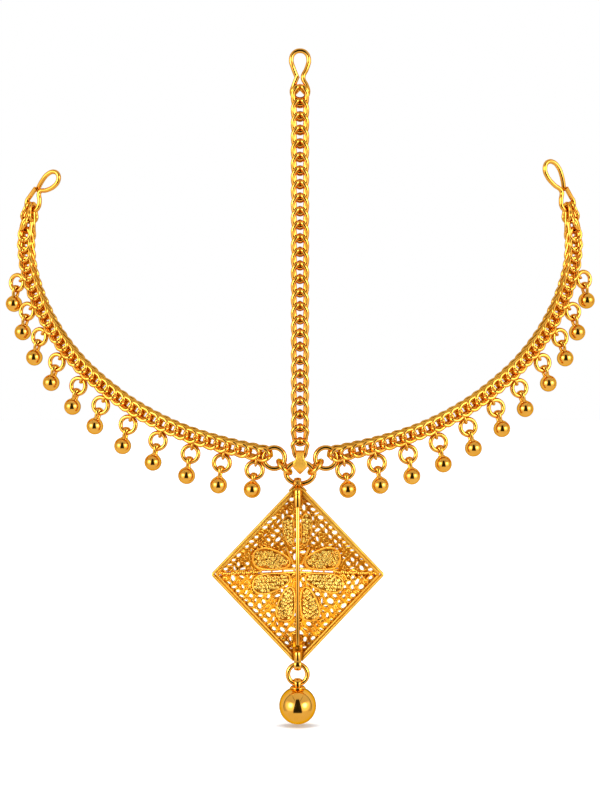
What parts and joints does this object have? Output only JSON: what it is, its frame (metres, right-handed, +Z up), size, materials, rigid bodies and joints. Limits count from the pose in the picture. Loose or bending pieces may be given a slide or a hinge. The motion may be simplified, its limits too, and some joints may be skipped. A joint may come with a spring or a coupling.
{
  "type": "matha patti",
  "caption": "Gold head jewel: a loop-in-loop centre chain with a pierced square pendant and ball drop, and side chains hung with small balls, on wire hooks.",
  "frame": {"origin": "inner top of the upper hook's loop, where the jewel hangs", "axes": "+Z up along the centre chain, +X to the right seen from the pendant's hollow back, +Y away from that viewer"},
  "size_m": [0.202, 0.0344, 0.2187],
  "materials": {
    "polished_gold": "polished yellow gold",
    "satin_gold": "satin yellow gold",
    "filigree_gold": "fine wire filigree in deep yellow gold"
  },
  "bodies": {
    "chains": {"hook_top": "polished_gold", "hook_left": "polished_gold", "hook_right": "polished_gold", "chain_centre": "polished_gold", "chain_left": "polished_gold", "chain_right": "polished_gold", "leaf_bail": "satin_gold", "centre_ring": "polished_gold", "end_ring_left": "polished_gold", "end_ring_right": "polished_gold", "tie_ring_left": "polished_gold", "tie_ring_right": "polished_gold", "jump_ring_left_01": "polished_gold", "jump_ring_left_02": "polished_gold", "jump_ring_left_03": "polished_gold", "jump_ring_left_04": "polished_gold", "jump_ring_left_05": "polished_gold", "jump_ring_left_06": "polished_gold", "jump_ring_left_07": "polished_gold", "jump_ring_left_08": "polished_gold", "jump_ring_left_09": "polished_gold", "jump_ring_left_10": "polished_gold", "jump_ring_left_11": "polished_gold", "jump_ring_right_01": "polished_gold", "jump_ring_right_02": "polished_gold", "jump_ring_right_03": "polished_gold", "jump_ring_right_04": "polished_gold", "jump_ring_right_05": "polished_gold", "jump_ring_right_06": "polished_gold", "jump_ring_right_07": "polished_gold", "jump_ring_right_08": "polished_gold", "jump_ring_right_09": "polished_gold", "jump_ring_right_10": "polished_gold", "jump_ring_right_11": "polished_gold", "ball_drop_left_01": "polished_gold", "ball_drop_left_02": "polished_gold", "ball_drop_left_03": "polished_gold", "ball_drop_left_04": "polished_gold", "ball_drop_left_05": "polished_gold", "ball_drop_left_06": "polished_gold", "ball_drop_left_07": "polished_gold", "ball_drop_left_08": "polished_gold", "ball_drop_left_09": "polished_gold", "ball_drop_left_10": "polished_gold", "ball_drop_left_11": "polished_gold", "ball_drop_right_01": "polished_gold", "ball_drop_right_02": "polished_gold", "ball_drop_right_03": "polished_gold", "ball_drop_right_04": "polished_gold", "ball_drop_right_05": "polished_gold", "ball_drop_right_06": "polished_gold", "ball_drop_right_07": "polished_gold", "ball_drop_right_08": "polished_gold", "ball_drop_right_09": "polished_gold", "ball_drop_right_10": "polished_gold", "ball_drop_right_11": "polished_gold"},
    "pendant_body": {"pendant": "filigree_gold"},
    "ball_body": {"bottom_ring": "polished_gold", "ball_large": "polished_gold"}
  },
  "joints": [
    {"name": "pendant_swing", "type": "hinge", "parent": "chains", "child": "pendant_body", "pos_m": [-0.00075, 0, -0.1403], "axis": [1, 0, 0], "range_deg": [-60, 60]},
    {"name": "ball_swing", "type": "hinge", "parent": "pendant_body", "child": "ball_body", "pos_m": [-0.00075, -0.0028, -0.19835], "axis": [1, 0, 0], "range_deg": [-60, 60]}
  ]
}
